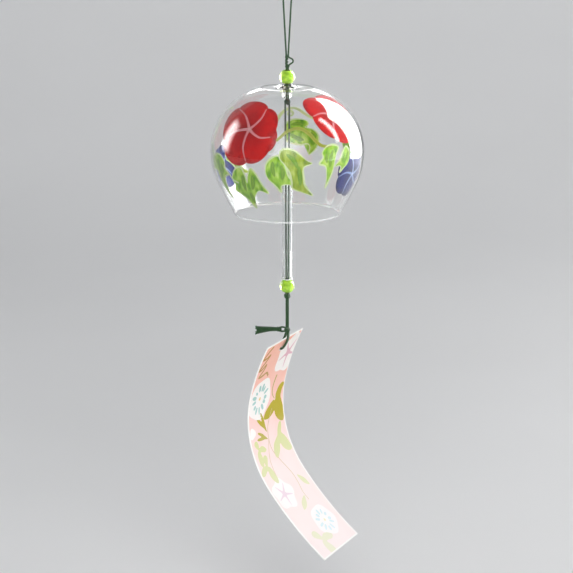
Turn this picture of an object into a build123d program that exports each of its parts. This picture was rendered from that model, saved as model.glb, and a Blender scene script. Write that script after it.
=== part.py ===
from build123d import *
from math import acos, atan2, cos, degrees, hypot, pi, radians, sin, sqrt, tan
import os

os.makedirs("parts", exist_ok=True)

# Glass wind bell. The origin is the point where the cord's loop bears on its hook,
# and the bell hangs below it along -Z. All lengths are millimetres.

# Cord
strand_diameter = 0.9
strand_clearance = 0.02
joint_gap = 0.3
loop_bend_radius = 3.0
# Part of the shorter run that the rounding of a corner takes up
rounding_share = 0.45

# Upper knot, above the upper bead
upper_knot_radius = 1.35
upper_knot_foot_radius = 1.0
upper_knot_length = 5.2
bow_reach = 2.5
bow_rise = 1.0
bow_drop = 3.6

# Glass globe
disc_drop = 65.0
disc_radius = 14.5
disc_edge_round = 0.8
# How far the rounded edge of the disc falls, as a part of its width
disc_edge_fall_share = 0.13
belly_radius = 40.0
belly_drop = 33.0
globe_height = 66.0
mouth_radius = 28.0
# Radius of the curve under the waist, as a part of the one arc that would reach the mouth
lower_curve_share = 0.778
globe_wall = 1.2
rim_round = 0.35
hole_radius = 2.0
hole_round = 0.3
lip_outer_radius = 5.35
lip_rise = 1.3

# Beads on the cord
upper_bead_radius = 4.0
lower_bead_radius = 3.9
bead_bore_radius = 1.1
bead_bore_round = 0.2
upper_bead_gap = 0.4

# Clear stopper bead and the knot under it
stopper_radius = 2.6
stopper_bore_radius = 1.4
stopper_seat_gap = 0.3
stopper_knot_radius = 1.7
stopper_knot_gap = 0.5
clapper_spread = 1.05

# Glass tube that strikes the rim
tube_top_drop = 49.0
tube_length = 52.5
tube_radius = 2.8
tube_wall = 0.75
tube_end_round = 0.25
tube_flare = 0.25
tube_flare_length = 1.2
tube_seat_gap = 0.3

# Lower knot, strip cord and tie
lower_knot_radius = 1.75
lower_knot_gap = 0.3
strip_cord_length = 18.5
tie_knot_radius = 1.6
tie_lobe_reach = 3.0
tie_lobe_radius = 1.2
tie_lobe_rise = 0.3
tie_lobe_round = 0.25
tail_length = 13.5
tail_end_spread = 0.8
tail_droop = 0.5
tail_side_share = 0.6
# How far along, how far down and how far apart each point of a tail lies
tail_shares = ((0.3, -0.35, 0.0), (0.62, -0.1, 0.3), (1.0, 1.0, 1.0))

# Paper strip: a stiff card, rolled to a curve about its own width
strip_width = 40.0
strip_thickness = 0.45
strip_drop = 3.8
strip_yaw = 62.3
strip_roll = 2.5
strip_lean = -28.0
strip_top_arc_radius = 130.0
strip_top_arc_angle = 13.3
strip_middle_arc_radius = 61.0
strip_middle_arc_angle = 51.2
strip_foot_arc_radius = 184.0
strip_foot_arc_angle = 14.6
punch_radius = 1.6
punch_drop = 6.9
tie_spread = 0.55
tie_front_reach = 1.15
tie_edge_drop = 0.7
tie_edge_share = 0.7
tie_slack = 0.2
fold_reach = 1.05

cut_overrun = 2.0

# Heights worked out from the sizes above
strand_radius = strand_diameter / 2
pair_offset = (strand_diameter + strand_clearance) / 2
hook_z = strand_radius - loop_bend_radius
disc_z = -disc_drop
upper_bead_half = sqrt(upper_bead_radius**2 - bead_bore_radius**2)
upper_bead_z = disc_z + lip_rise + upper_bead_gap + upper_bead_half
upper_knot_foot_z = upper_bead_z + upper_bead_half + joint_gap
upper_knot_z = upper_knot_foot_z + upper_knot_length
stopper_contact = stopper_radius + stopper_seat_gap
stopper_z = disc_z - globe_wall - sqrt(stopper_contact**2 - hole_radius**2)
stopper_half = sqrt(stopper_radius**2 - stopper_bore_radius**2)
stopper_knot_contact = stopper_knot_radius + stopper_knot_gap
stopper_knot_z = stopper_z - stopper_half - sqrt(stopper_knot_contact**2 - stopper_bore_radius**2)
tube_top_z = disc_z - tube_top_drop
tube_foot_z = tube_top_z - tube_length
tube_bore_radius = tube_radius - tube_wall
lower_bead_z = tube_foot_z - tube_seat_gap - sqrt(lower_bead_radius**2 - tube_bore_radius**2)
lower_bead_half = sqrt(lower_bead_radius**2 - bead_bore_radius**2)
lower_knot_contact = lower_knot_radius + lower_knot_gap
lower_knot_z = lower_bead_z - lower_bead_half - sqrt(lower_knot_contact**2 - bead_bore_radius**2)
tie_knot_z = lower_knot_z - strip_cord_length


# Largest rounding that each corner of a cord's route leaves room for
def corner_radii(points):
    places = [Vector(*point) for point in points]
    radii = []
    for before, here, after in zip(places, places[1:], places[2:]):
        turn = radians((here - before).get_angle(after - here))
        shorter = min((here - before).length, (after - here).length)
        radii.append(rounding_share * shorter / tan(turn / 2))
    return radii


# Makes one strand of cord along a route; a route of two points is pulled straight
def cord_piece(name, points):
    radii = corner_radii(points)
    with BuildPart() as strand:
        with BuildLine() as route:
            if radii:
                FilletPolyline(*points, radius=radii)
            else:
                Line(*points)
        with BuildSketch(Plane(origin=route.line @ 0, z_dir=route.line % 0)):
            Circle(strand_radius)
        sweep(path=route.line)
    strand.part.label = name
    export_step(strand.part, f"parts/{name}.step")
    length = sum(edge.length for edge in route.edges())
    filled = strand.part.volume / (pi * strand_radius**2 * length)
    bends = [round(radius, 2) for radius in radii]
    print(name, "length", round(length, 2), "filled", round(filled, 4), "bend radii", bends)


# Loop over the hook
with BuildPart() as loop_top:
    gap_angle = degrees(joint_gap / loop_bend_radius)
    with BuildLine(Plane.XZ) as loop_bend:
        CenterArc((0, hook_z), loop_bend_radius, gap_angle, 180 - 2 * gap_angle)
    with BuildSketch(Plane(origin=loop_bend.line @ 0, z_dir=loop_bend.line % 0)):
        Circle(strand_radius)
    sweep(path=loop_bend.line)
loop_top.part.label = "loop_top"
export_step(loop_top.part, "parts/loop_top.step")

# Two straight legs from the loop down to the upper knot
leg_foot_z = upper_knot_z + upper_knot_radius + joint_gap
for side, name in ((-1, "hanging_cord_left"), (1, "hanging_cord_right")):
    top = (side * loop_bend_radius, 0, hook_z)
    foot = (side * pair_offset, 0, leg_foot_z)
    cord_piece(name, [top, foot])

# Loose overhand knot with one strand standing out in a bow
with BuildPart() as upper_knot:
    with BuildSketch(Plane.XZ):
        with BuildLine():
            knot_top = (0, upper_knot_z + upper_knot_radius)
            knot_side = (upper_knot_radius, upper_knot_z)
            RadiusArc(knot_top, knot_side, upper_knot_radius)
            Line(knot_side, (upper_knot_foot_radius, upper_knot_foot_z))
            Line((upper_knot_foot_radius, upper_knot_foot_z), (0, upper_knot_foot_z))
            Line((0, upper_knot_foot_z), knot_top)
        make_face()
    revolve(axis=Axis.Z)
    with BuildLine(Plane.XZ) as bow:
        bow_top = (0, upper_knot_z + strand_radius)
        bow_side = (bow_reach, upper_knot_z - bow_rise)
        bow_foot = (0, upper_knot_z - bow_drop)
        ThreePointArc(bow_top, bow_side, bow_foot)
    with BuildSketch(Plane(origin=bow.line @ 0, z_dir=bow.line % 0)):
        Circle(strand_radius)
    sweep(path=bow.line)
upper_knot.part.label = "upper_knot"
export_step(upper_knot.part, "parts/upper_knot.step")

# Two strands through the upper bead and the hole in the glass
neck_foot_z = stopper_knot_z + stopper_knot_radius + joint_gap
for side, name in ((-1, "neck_cord_left"), (1, "neck_cord_right")):
    top = (side * pair_offset, 0, upper_knot_foot_z)
    foot = (side * pair_offset, 0, neck_foot_z)
    cord_piece(name, [top, foot])


# Makes a round bead with a bore along Z
def bead_piece(name, radius, bore_radius, height):
    with BuildPart(Plane.XY.offset(height)) as bead:
        Sphere(radius)
        Cylinder(bore_radius, 2 * radius + cut_overrun, mode=Mode.SUBTRACT)
        round_edges = bead.edges().filter_by(GeomType.CIRCLE)
        fillet([e for e in round_edges if abs(e.radius - bore_radius) < bead_bore_round], bead_bore_round)
    bead.part.label = name
    export_step(bead.part, f"parts/{name}.step")


bead_piece("upper_bead", upper_bead_radius, bead_bore_radius, upper_bead_z)
bead_piece("stopper_bead", stopper_radius, stopper_bore_radius, stopper_z)
bead_piece("lower_bead", lower_bead_radius, bead_bore_radius, lower_bead_z)


# Draws half the section of the globe, from the flat top round the belly to the mouth
def globe_section(inset):
    belly = belly_radius - inset
    mouth = mouth_radius - inset
    belly_z = disc_z - belly_drop
    mouth_z = disc_z - globe_height
    mouth_depth = globe_height - belly_drop
    narrowing = belly - mouth
    curve = lower_curve_share * (narrowing**2 + mouth_depth**2) / (2 * narrowing) - inset
    mouth_reach = curve - narrowing
    wall_lean = atan2(mouth_depth, mouth_reach) - acos(curve / hypot(mouth_reach, mouth_depth))
    disc_edge = (disc_radius - disc_edge_round - inset, disc_z - inset)
    crown = (disc_radius - inset, disc_z - inset - disc_edge_round * disc_edge_fall_share)
    waist = (belly, belly_z)
    wall_top = (belly - curve + curve * cos(wall_lean), belly_z - curve * sin(wall_lean))
    TangentArc(waist, crown, tangent=(0, 1))
    TangentArc(waist, wall_top, tangent=(0, -1))
    Line(wall_top, (mouth, mouth_z))
    Line((mouth, mouth_z), (0, mouth_z))
    Line((0, mouth_z), (0, disc_z - inset))
    Line((0, disc_z - inset), disc_edge)
    TangentArc(disc_edge, crown, tangent=(1, 0))


# Blown globe: flat top with a fire-polished lip round the hole, open mouth below
with BuildPart() as glass_globe:
    with BuildSketch(Plane.XZ):
        with BuildLine():
            globe_section(0)
        make_face()
    revolve(axis=Axis.Z)
    lip_half = (lip_outer_radius - hole_radius) / 2
    with BuildSketch(Plane.XZ):
        with Locations((hole_radius + lip_half, disc_z)):
            Ellipse(lip_half, lip_rise)
    revolve(axis=Axis.Z)
    with BuildSketch(Plane.XZ):
        with BuildLine():
            globe_section(globe_wall)
        make_face()
    revolve(axis=Axis.Z, mode=Mode.SUBTRACT)
    with Locations((0, 0, disc_z)):
        Cylinder(hole_radius, 2 * (globe_wall + lip_rise) + cut_overrun, mode=Mode.SUBTRACT)
    mouth_edges = glass_globe.edges().filter_by(GeomType.CIRCLE).group_by(Axis.Z)[0]
    fillet(mouth_edges, rim_round)
    hole_edges = [
        e
        for e in glass_globe.edges().filter_by(GeomType.CIRCLE)
        if abs(e.radius - hole_radius) < hole_round and e.center().Z < disc_z - globe_wall / 2
    ]
    fillet(hole_edges, hole_round)
glass_globe.part.label = "glass_globe"
export_step(glass_globe.part, "parts/glass_globe.step")


# Makes a round knot
def knot_piece(name, radius, height):
    with BuildPart(Plane.XY.offset(height)) as knot:
        Sphere(radius)
    knot.part.label = name
    export_step(knot.part, f"parts/{name}.step")


knot_piece("stopper_knot", stopper_knot_radius, stopper_knot_z)
knot_piece("lower_knot", lower_knot_radius, lower_knot_z)

# Two strands that carry the tube, the lower bead and the strip
clapper_top_z = stopper_knot_z - stopper_knot_radius - joint_gap
clapper_foot_z = lower_knot_z + lower_knot_radius + joint_gap
for side, name in ((-1, "clapper_cord_left"), (1, "clapper_cord_right")):
    top = (side * clapper_spread, 0, clapper_top_z)
    foot = (side * pair_offset, 0, clapper_foot_z)
    cord_piece(name, [top, foot])

# Glass tube, fire-polished at both ends and a little flared where it sits on the bead
with BuildPart() as clapper_tube:
    with BuildSketch(Plane.XZ):
        with BuildLine():
            flare_foot = (tube_radius + tube_flare, tube_foot_z)
            flare_top = (tube_radius, tube_foot_z + tube_flare_length)
            Line((tube_bore_radius, tube_foot_z), flare_foot)
            TangentArc(flare_top, flare_foot, tangent=(0, -1))
            Line(flare_top, (tube_radius, tube_top_z))
            Line((tube_radius, tube_top_z), (tube_bore_radius, tube_top_z))
            Line((tube_bore_radius, tube_top_z), (tube_bore_radius, tube_foot_z))
        make_face()
    revolve(axis=Axis.Z)
    end_edges = clapper_tube.edges().filter_by(GeomType.CIRCLE).group_by(Axis.Z)
    fillet(end_edges[0] + end_edges[-1], tube_end_round)
clapper_tube.part.label = "clapper_tube"
export_step(clapper_tube.part, "parts/clapper_tube.step")

# Doubled cord from the lower knot down to the tie
strip_cord_top_z = lower_knot_z - lower_knot_radius - joint_gap
strip_cord_foot_z = tie_knot_z + tie_knot_radius + joint_gap
for side, name in ((-1, "strip_cord_left"), (1, "strip_cord_right")):
    top = (side * pair_offset, 0, strip_cord_top_z)
    foot = (side * pair_offset, 0, strip_cord_foot_z)
    cord_piece(name, [top, foot])

# Tie knot: a round core under the cord and a lobe to the left that the tails leave
lobe_z = tie_knot_z + tie_lobe_rise
with BuildPart() as tie_knot:
    with Locations((0, 0, tie_knot_z)):
        Sphere(tie_knot_radius)
    with BuildSketch(Plane.YZ):
        with Locations((0, lobe_z)):
            Circle(tie_lobe_radius)
    extrude(amount=-tie_lobe_reach)
    lobe_end = tie_knot.faces().sort_by(Axis.X)[0]
    fillet(lobe_end.edges(), tie_lobe_round)
tie_knot.part.label = "tie_knot"
export_step(tie_knot.part, "parts/tie_knot.step")

# Two tails side by side, drooping a little and parting at their cut ends
for side, name in ((-1, "tie_tail_lower"), (1, "tie_tail_upper")):
    tail_root = (-tie_lobe_reach, 0, lobe_z + side * pair_offset)
    tail_points = [tail_root]
    for reach_share, droop_share, spread_share in tail_shares:
        part_way = side * tail_end_spread * spread_share
        tail_x = tail_root[0] - tail_length * reach_share
        tail_z = tail_root[2] - tail_droop * droop_share + part_way
        tail_points.append((tail_x, tail_side_share * part_way, tail_z))
    cord_piece(name, tail_points)

# The strip's own directions: across its width, square to that, and down its length
yaw = radians(strip_yaw)
roll = radians(strip_roll)
lean = radians(strip_lean)
across = Vector(cos(yaw) * cos(roll), sin(yaw) * cos(roll), sin(roll))
face_way = Vector(sin(yaw), -cos(yaw), 0)
strip_arcs = (
    (strip_top_arc_radius, strip_top_arc_angle),
    (strip_middle_arc_radius, strip_middle_arc_angle),
    (strip_foot_arc_radius, strip_foot_arc_angle),
)


# Draws one side of the bent card, at a distance from its middle surface
def card_side(reach):
    place = (reach * cos(lean), -reach * sin(lean))
    way = (sin(lean), cos(lean))
    arcs = []
    for arc_radius, arc_angle in strip_arcs:
        arcs.append(JernArc(place, way, arc_radius - reach, -arc_angle))
        place = arcs[-1] @ 1
        way = arcs[-1] % 1
    return arcs


# The strip hangs with its middle plumb under the cord
with BuildLine(mode=Mode.PRIVATE) as course:
    course_arcs = card_side(0)
course_length = sum(arc.length for arc in course_arcs)
balance = sum((arc.center(CenterOf.MASS) * arc.length for arc in course_arcs), Vector()) / course_length
downward = across.cross(face_way)
hang = face_way * balance.X + downward * balance.Y
strip_top = Vector(-hang.X, -hang.Y, tie_knot_z - strip_drop)
strip_plane = Plane(origin=strip_top, x_dir=face_way, z_dir=across)

# Where the hole is punched, and the way that the card faces there
punch_share = punch_drop / course_arcs[0].length
punch_lean = lean + radians(strip_top_arc_angle) * punch_share
punch_place = course_arcs[0] @ punch_share
punch_face = Vector(cos(punch_lean), -sin(punch_lean), 0)

with BuildPart() as paper_strip:
    with BuildSketch(strip_plane):
        with BuildLine():
            front = card_side(strip_thickness / 2)
            back = card_side(-strip_thickness / 2)
            Line(front[0] @ 0, back[0] @ 0)
            Line(front[-1] @ 1, back[-1] @ 1)
        make_face()
    extrude(amount=strip_width / 2, both=True)
    punch_origin = strip_plane.from_local_coords(punch_place)
    punch_way = strip_plane.from_local_coords(punch_place + punch_face) - punch_origin
    with BuildSketch(Plane(origin=punch_origin, z_dir=punch_way)):
        Circle(punch_radius)
    extrude(amount=cut_overrun, both=True, mode=Mode.SUBTRACT)
paper_strip.part.label = "paper_strip"
export_step(paper_strip.part, "parts/paper_strip.step")

# Two strands of the tie: down the front, through the hole and up the back to the knot
knot_place = strip_plane.to_local_coords(Vector(0, 0, tie_knot_z))
leg_start = knot_place.Y + tie_knot_radius + joint_gap
for side, name in ((-1, "tie_loop_left"), (1, "tie_loop_right")):
    beside = side * pair_offset
    loop_points = []
    for face in (1, -1):
        over_edge = Vector(
            face * tie_front_reach + tie_edge_drop * tan(lean),
            tie_edge_drop,
            knot_place.Z * tie_edge_share + beside,
        )
        fold = punch_place + punch_face * (face * fold_reach) + Vector(0, 0, beside)
        halfway = (over_edge + fold) / 2 + punch_face * (face * tie_slack)
        leg = [
            Vector(knot_place.X + face * tie_spread, leg_start, knot_place.Z + beside),
            over_edge,
            halfway,
            fold,
        ]
        loop_points += leg if face > 0 else leg[::-1]
    loop_points = [tuple(strip_plane.from_local_coords(p)) for p in loop_points]
    cord_piece(name, loop_points)
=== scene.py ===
import math
import random

import bmesh
import bpy
import numpy as np
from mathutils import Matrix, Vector


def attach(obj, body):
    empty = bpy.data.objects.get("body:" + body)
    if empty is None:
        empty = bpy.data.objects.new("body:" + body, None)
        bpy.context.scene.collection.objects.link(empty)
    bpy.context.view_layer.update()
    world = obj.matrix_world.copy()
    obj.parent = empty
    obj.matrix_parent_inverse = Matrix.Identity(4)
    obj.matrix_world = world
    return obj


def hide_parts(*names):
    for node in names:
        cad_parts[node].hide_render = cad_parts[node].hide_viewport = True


# Glass wind bell. The origin is where the cord's loop bears on its hook, +Z is up,
# and -Y is the side that the photograph shows. Sizes are in millimetres unless a comment says metres.

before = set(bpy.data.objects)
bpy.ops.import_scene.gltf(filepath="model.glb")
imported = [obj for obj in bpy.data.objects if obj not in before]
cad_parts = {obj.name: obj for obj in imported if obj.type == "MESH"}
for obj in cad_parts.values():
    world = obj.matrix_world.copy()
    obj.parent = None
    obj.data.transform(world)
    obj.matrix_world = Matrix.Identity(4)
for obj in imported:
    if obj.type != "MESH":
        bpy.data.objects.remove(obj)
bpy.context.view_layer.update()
MM = 0.001
scene = bpy.context.scene

# sizes shared with the solids

STRAND = 0.45  # radius of one strand of the cord
DRAWN = 0.5  # the lay of a strand stands a little proud of its solid
APART = 0.46  # each strand of a pair stands this far from the axis
TUCK = 1.1  # how far a strand's end is tucked into its knot
HOOK_R = 3.0
HOOK_Z = -2.55
UPPER_KNOT_Z = -50.108
NECK_TOP_Z = -55.308
UPPER_BEAD_Z = -59.454
DISC_Z = -65.0
STOPPER_Z = -68.3
STOPPER_KNOT_Z = -72.189
TUBE_TOP_Z = -114.0
TUBE_FOOT_Z = -166.5
LOWER_BEAD_Z = -170.118
LOWER_KNOT_Z = -175.589
TIE_KNOT_Z = -194.089
# the strands end this far from the middles of the knots
UPPER_REACH, STOPPER_REACH, LOWER_REACH, TIE_REACH = 1.65, 2.0, 2.05, 1.9
CLAPPER_APART = 1.05  # the clapper's strands leave their knot this far from the axis
GLASS_WALL = 1.2
STRIP_WIDTH = 40.0
STRIP_LENGTH = 131.573
STRIP_THICK = 0.45
PUNCH_S, PUNCH_R = 6.9, 1.6  # the card's hole: distance from the top edge, radius
BORDER = 0.85  # bare margin round the card's print
HALF_W, HALF_T = STRIP_WIDTH / 2, STRIP_THICK / 2


# camera, in metres

camera_data = bpy.data.cameras.new("camera")
camera_data.sensor_width = 36.0
camera_data.lens = 128.5
camera = bpy.data.objects.new("camera", camera_data)
camera.location = (-0.0004, -1.050, 0.07885)
camera.rotation_euler = (math.radians(90 - 13.36), 0.0, 0.0)
scene.collection.objects.link(camera)
scene.camera = camera


# nodes of a material

def feed(tree, socket, value):
    """Sets a socket to a number or colour, or links it to another node's output."""
    if isinstance(value, bpy.types.NodeSocket):
        tree.links.new(value, socket)
    else:
        socket.default_value = value


def node(tree, kind, inputs, output=0, **settings):
    """Adds a node, feeds the inputs given by name or number, and returns one output."""
    made = tree.nodes.new("ShaderNode" + kind)
    for key, value in settings.items():
        setattr(made, key, value)
    for key, value in inputs.items():
        feed(tree, made.inputs[key], value)
    return made.outputs[output]


def calculate(tree, operation, *values):
    return node(tree, "Math", dict(enumerate(values)), operation=operation)


def span(tree, source, low, high):
    return node(tree, "MapRange", {"Value": source, "To Min": low, "To Max": high}, "Result")


def noise(tree, place, stretch, scale, detail=3.0):
    mapped = node(tree, "Mapping", {"Scale": stretch, "Vector": place})
    return node(tree, "TexNoise", {"Vector": mapped, "Scale": scale, "Detail": detail}, "Fac")


def wandering(tree, base, pattern, amount):
    """The base value moved up and down by a pattern, by half the amount each way."""
    moved = calculate(tree, "MULTIPLY_ADD", pattern, amount, -amount / 2)
    return calculate(tree, "ADD", base, moved)


def split(tree, vector):
    return node(tree, "SeparateXYZ", {"Vector": vector}).node.outputs


def linear(colour):
    """Linear RGBA of a hex colour; numbers are linear already."""
    if isinstance(colour, str):
        parts = [int(colour[i:i + 2], 16) / 255 for i in (1, 3, 5)]
        colour = [c / 12.92 if c <= 0.04045 else ((c + 0.055) / 1.055) ** 2.4 for c in parts]
    return (*colour, 1.0)


def ramp(tree, source, *stops):
    made = tree.nodes.new("ShaderNodeValToRGB")
    elements = made.color_ramp.elements
    while len(elements) < len(stops):
        elements.new(0.5)
    for element, (place, colour) in zip(elements, stops):
        element.position = place
        element.color = linear(colour)
    tree.links.new(source, made.inputs["Fac"])
    return made.outputs["Color"]


def own_node(tree, kind):
    """The node of a kind that a new tree comes with."""
    return next(n for n in tree.nodes if n.type == kind)


def surface(name, coordinates):
    """A new material: itself, its tree, its shader and the coordinates of its pattern."""
    material = bpy.data.materials.new(name)
    material.use_nodes = True
    tree = material.node_tree
    return material, tree, own_node(tree, "BSDF_PRINCIPLED"), node(tree, "TexCoord", {}, coordinates)


def dress(tree, shader, colour, roughness, relief=None, **levels):
    """Feeds the shader; relief is (source, strength, height in metres), levels name other sockets."""
    feed(tree, shader.inputs["Base Color"], colour)
    feed(tree, shader.inputs["Roughness"], roughness)
    if relief:
        source, strength, height = relief
        bump = node(tree, "Bump", {"Strength": strength, "Distance": height, "Height": source}, "Normal")
        feed(tree, shader.inputs["Normal"], bump)
    for socket, value in levels.items():
        shader.inputs[socket.replace("_", " ")].default_value = value


# materials

EVEN = (1.0, 1.0, 1.0)
GLASS_IOR = 1.5


def glass_material(name, tint, wave_scale, wave_height, level=0.5):
    """Clear blown glass: a slow ripple in the wall and faint wiping marks in its gloss."""
    material, tree, shader, place = surface(name, "Object")
    ripple = noise(tree, place, (1.0, 1.0, 0.6), wave_scale, 1.0)
    wiped = noise(tree, place, EVEN, 60.0, 4.0)
    dress(tree, shader, linear(tint), span(tree, wiped, 0.0, 0.035), (ripple, 1.0, wave_height),
          IOR=GLASS_IOR, Specular_IOR_Level=level, Transmission_Weight=1.0)
    return material


def streaked_material(name, stretch, scale, detail, stops, gloss, relief, **levels):
    """Glass that changes colour, gloss and relief along the same streaks or grit."""
    material, tree, shader, place = surface(name, "Object")
    streak = noise(tree, place, stretch, scale, detail)
    dress(tree, shader, ramp(tree, streak, *stops), span(tree, streak, *gloss), (streak, relief, 0.0002),
          **levels)
    return material


def cord_material(name, deep, mid, light):
    """Twisted cord with a silky lustre: fine filaments run along each ply, and the palest of them are a
    painted sheen highlight.
    """
    material, tree, shader, uv = surface(name, "UV")
    fibre = noise(tree, uv, (26.0, 1.2, 1.0), 5.0)
    dress(tree, shader, ramp(tree, fibre, (0.3, deep), (0.52, mid), (0.7, light)),
          span(tree, fibre, 0.5, 0.32), (fibre, 0.5, 0.00008),
          Specular_IOR_Level=0.45, Sheen_Weight=0.25, Sheen_Roughness=0.4)
    return material


def paint_material(name, stroke_scale, *stops, spread=0.7):
    """Brushed enamel: colour changes from the middle of a motif to its edge, with bristle marks."""
    material, tree, shader, uv = surface(name, "UV")
    stroke = noise(tree, uv, (stroke_scale, 1.6, 1.0), 3.0, 4.0)
    load = noise(tree, node(tree, "TexCoord", {}, "Object"), EVEN, 130.0, 2.0)
    total = wandering(tree, split(tree, uv)["Y"], stroke, spread)
    total = wandering(tree, total, load, spread * 0.9)
    dress(tree, shader, ramp(tree, total, *stops), span(tree, stroke, 0.34, 0.52), (stroke, 0.25, 0.00006),
          Specular_IOR_Level=0.12)
    return material


def leaf_material(name, *stops):
    """Brushed green: long bristle streaks over darker and paler loads of paint."""
    material, tree, shader, uv = surface(name, "UV")
    streak = noise(tree, uv, (26.0, 3.0, 1.0), 1.5, 4.0)
    load = noise(tree, uv, (3.4, 2.2, 1.0), 1.6, 1.0)
    total = calculate(tree, "ADD", span(tree, streak, -0.28, 0.28), span(tree, load, -0.35, 1.35))
    dress(tree, shader, ramp(tree, total, *stops), span(tree, streak, 0.35, 0.55), (streak, 0.25, 0.00006),
          Specular_IOR_Level=0.12)
    return material


def ink_material(name, first, last, hold=0.05, grain=0.06):
    """Printed ink that pales down the card, a painted glare; the card's fibres show through it."""
    material, tree, shader, uv = surface(name, "UV")
    fibre = noise(tree, uv, (120.0, 260.0, 1.0), 1.0, 5.0)
    total = wandering(tree, split(tree, uv)["Y"], fibre, grain)
    dress(tree, shader, ramp(tree, total, (hold, first), (0.95, last)), span(tree, fibre, 0.7, 0.9),
          (fibre, 0.2, 0.00005), Specular_IOR_Level=0.1)
    return material


def card_material():
    """Coated card: a wash from salmon to pale pink inside a bare white border; the paling is partly printed
    and partly painted glare on the lower card.
    """
    material, tree, shader, uv = surface("card", "UV")
    fibre = noise(tree, uv, (120.0, 260.0, 1.0), 1.0, 6.0)
    cloud = noise(tree, uv, (2.0, 6.0, 1.0), 1.5, 2.0)
    parts = split(tree, uv)
    # paler down the card: part print, part painted glare
    wash_and_glare = ramp(tree, wandering(tree, parts["Y"], cloud, 0.22), (0.03, "#efb8a4"), (0.22, "#f1c0b2"),
                (0.38, "#f4d2cc"), (0.58, "#f7e3e0"), (1.0, "#faedeb"))
    near_edge = []
    for axis, length in (("X", STRIP_WIDTH), ("Y", STRIP_LENGTH)):
        from_edge = calculate(tree, "PINGPONG", parts[axis], 0.5)
        near_edge.append(calculate(tree, "LESS_THAN", from_edge, BORDER / length))
    bare = calculate(tree, "MAXIMUM", *near_edge)
    colour = node(tree, "Mix", {"Factor": bare, "A": wash_and_glare, "B": linear("#fbf8f4")}, "Result",
                  data_type="RGBA")
    dress(tree, shader, colour, span(tree, fibre, 0.7, 0.9), (fibre, 0.25, 0.00006), Specular_IOR_Level=0.1)
    return material


clear = glass_material("clear_glass", (0.985, 0.995, 0.99), 22.0, 0.0009, 0.2)
tube_glass = glass_material("tube_glass", (0.98, 0.995, 0.985), 90.0, 0.0002)
stopper_glass = glass_material("stopper_glass", (0.98, 0.995, 0.99), 160.0, 0.0002)
# fire-polished and cut edges of the glass: a little rougher than the wall, and whiter, which is a painted
# highlight along their rims
edge_highlight_glass = streaked_material(
    "edge_highlight", EVEN, 420.0, 4.0, [(0.3, (0.90, 0.93, 0.92)), (0.7, (1.0, 1.0, 1.0))],
    (0.06, 0.2), 0.3, IOR=GLASS_IOR, Transmission_Weight=0.45)
# pale lime glass, the clear skin of a bead, and the milky deeper glass round its bore
lime = streaked_material(
    "bead_glass", (1.0, 1.0, 2.5), 260.0, 3.0, [(0.3, "#dff58a"), (0.5, "#eefcae"), (0.72, "#f8ffd4")],
    (0.02, 0.08), 0.15, IOR=GLASS_IOR, Transmission_Weight=0.93)
lime_heart = streaked_material(
    "bead_heart", (1.0, 1.0, 2.0), 420.0, 4.0, [(0.3, "#86b80a"), (0.5, "#a8d818"), (0.7, "#d2f04a")],
    (0.2, 0.45), 0.3)
# the last colour of each cord paints sheen highlights along its filaments
cord = cord_material("cord_green", "#041c06", "#0f3a13", "#6e9c6c")
cord_fray = cord_material("cord_fray", "#0a3010", "#185024", "#5c9460")

red = paint_material("paint_red", 14.0, (0.0, "#a30303"), (0.3, "#c40404"), (0.6, "#da0805"),
                     (0.85, "#e4140c"), (1.0, "#c20403"))
rib_pink = paint_material("paint_rib", 6.0, (0.2, "#f6d2d6"), (0.8, "#ec8f92"))
heart_pink = paint_material("paint_heart", 6.0, (0.2, "#eab8bc"), (0.9, "#d98a8a"))
blue = paint_material("paint_blue", 14.0, (0.0, "#020c52"), (0.4, "#031674"), (0.7, "#07248e"),
                      (0.95, "#04145c"))
rib_blue = paint_material("paint_rib_blue", 6.0, (0.3, "#dfe8fa"), (0.8, "#8aa8e4"))
leaf_green = leaf_material("paint_leaf", (0.1, "#589c0e"), (0.3, "#86c41e"), (0.5, "#acde3a"),
                           (0.72, "#ccee64"), (0.95, "#def494"))
leaf_olive = leaf_material("paint_leaf_olive", (0.1, "#76980f"), (0.34, "#9cb81c"), (0.6, "#b9d03c"),
                           (0.9, "#d2e272"))
leaf_dark = paint_material("paint_leaf_shade", 12.0, (0.1, "#568c0a"), (0.5, "#6fa618"), (0.9, "#8cbc2c"))
leaf_edge = paint_material("paint_leaf_edge", 8.0, (0.2, "#f4fcd8"), (0.9, "#e2f2b6"), spread=0.4)
tendril_pale = paint_material("paint_tendril", 5.0, (0.2, "#f8fee0"), (0.9, "#e4f6b8"))
tendril_olive = paint_material("paint_tendril_olive", 5.0, (0.2, "#c4c458"), (0.9, "#a2aa3a"))

card = card_material()
# each ink pales from its first colour to its last down the card, a painted glare
ink_gold = ink_material("ink_gold", "#ac942a", "#e6e2c0")
ink_leaf = ink_material("ink_leaf", "#b2a42c", "#f0eedb", hold=0.38)
ink_pale = ink_material("ink_pale", "#ccd088", "#ecead2", hold=0.3)
ink_white = ink_material("ink_white", "#f0ebe6", "#fbf7f6", grain=0.1)
ink_teal = ink_material("ink_teal", "#8cbcb2", "#e2f0f4")
ink_rose = ink_material("ink_rose", "#deb0ba", "#f2e8f0")
ink_yellow = ink_material("ink_yellow", "#e6c470", "#f2eccc")
ink_line = ink_material("ink_line", "#b48a48", "#ece2d0")


# meshes

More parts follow.
